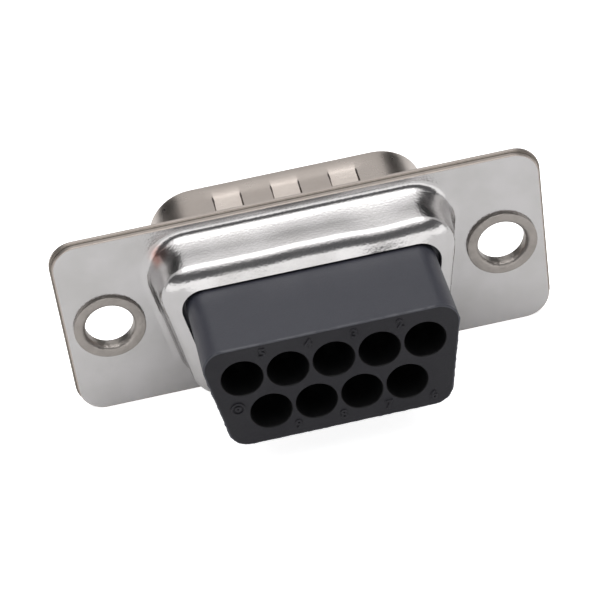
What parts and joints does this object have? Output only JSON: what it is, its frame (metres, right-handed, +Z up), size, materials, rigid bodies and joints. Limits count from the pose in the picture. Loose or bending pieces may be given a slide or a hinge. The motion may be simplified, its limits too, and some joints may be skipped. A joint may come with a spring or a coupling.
{
  "type": "d-sub connector housing",
  "caption": "D-shaped plug connector housing for crimp contacts: flanged tin-plated shell with mounting eyelets around a black insulator, empty of contacts.",
  "frame": {"origin": "midway between the two mounting holes, on the flange's front (panel) face", "axes": "+X along the flange, to the right as seen from the rear; +Y out of the mating side; +Z up, with the five-way contact row on top"},
  "size_m": [0.0308, 0.0159, 0.0126],
  "materials": {
    "front_shell": "satin tin plate",
    "rear_shell": "bright tin plate",
    "insulator": "moulded glass-filled thermoplastic",
    "eyelet": "dull tin plate over brass"
  },
  "bodies": {
    "root": {"front_shell": "front_shell", "rear_shell": "rear_shell", "front_insulator": "insulator", "rear_insulator": "insulator", "eyelet_left": "eyelet", "eyelet_right": "eyelet"}
  },
  "joints": []
}
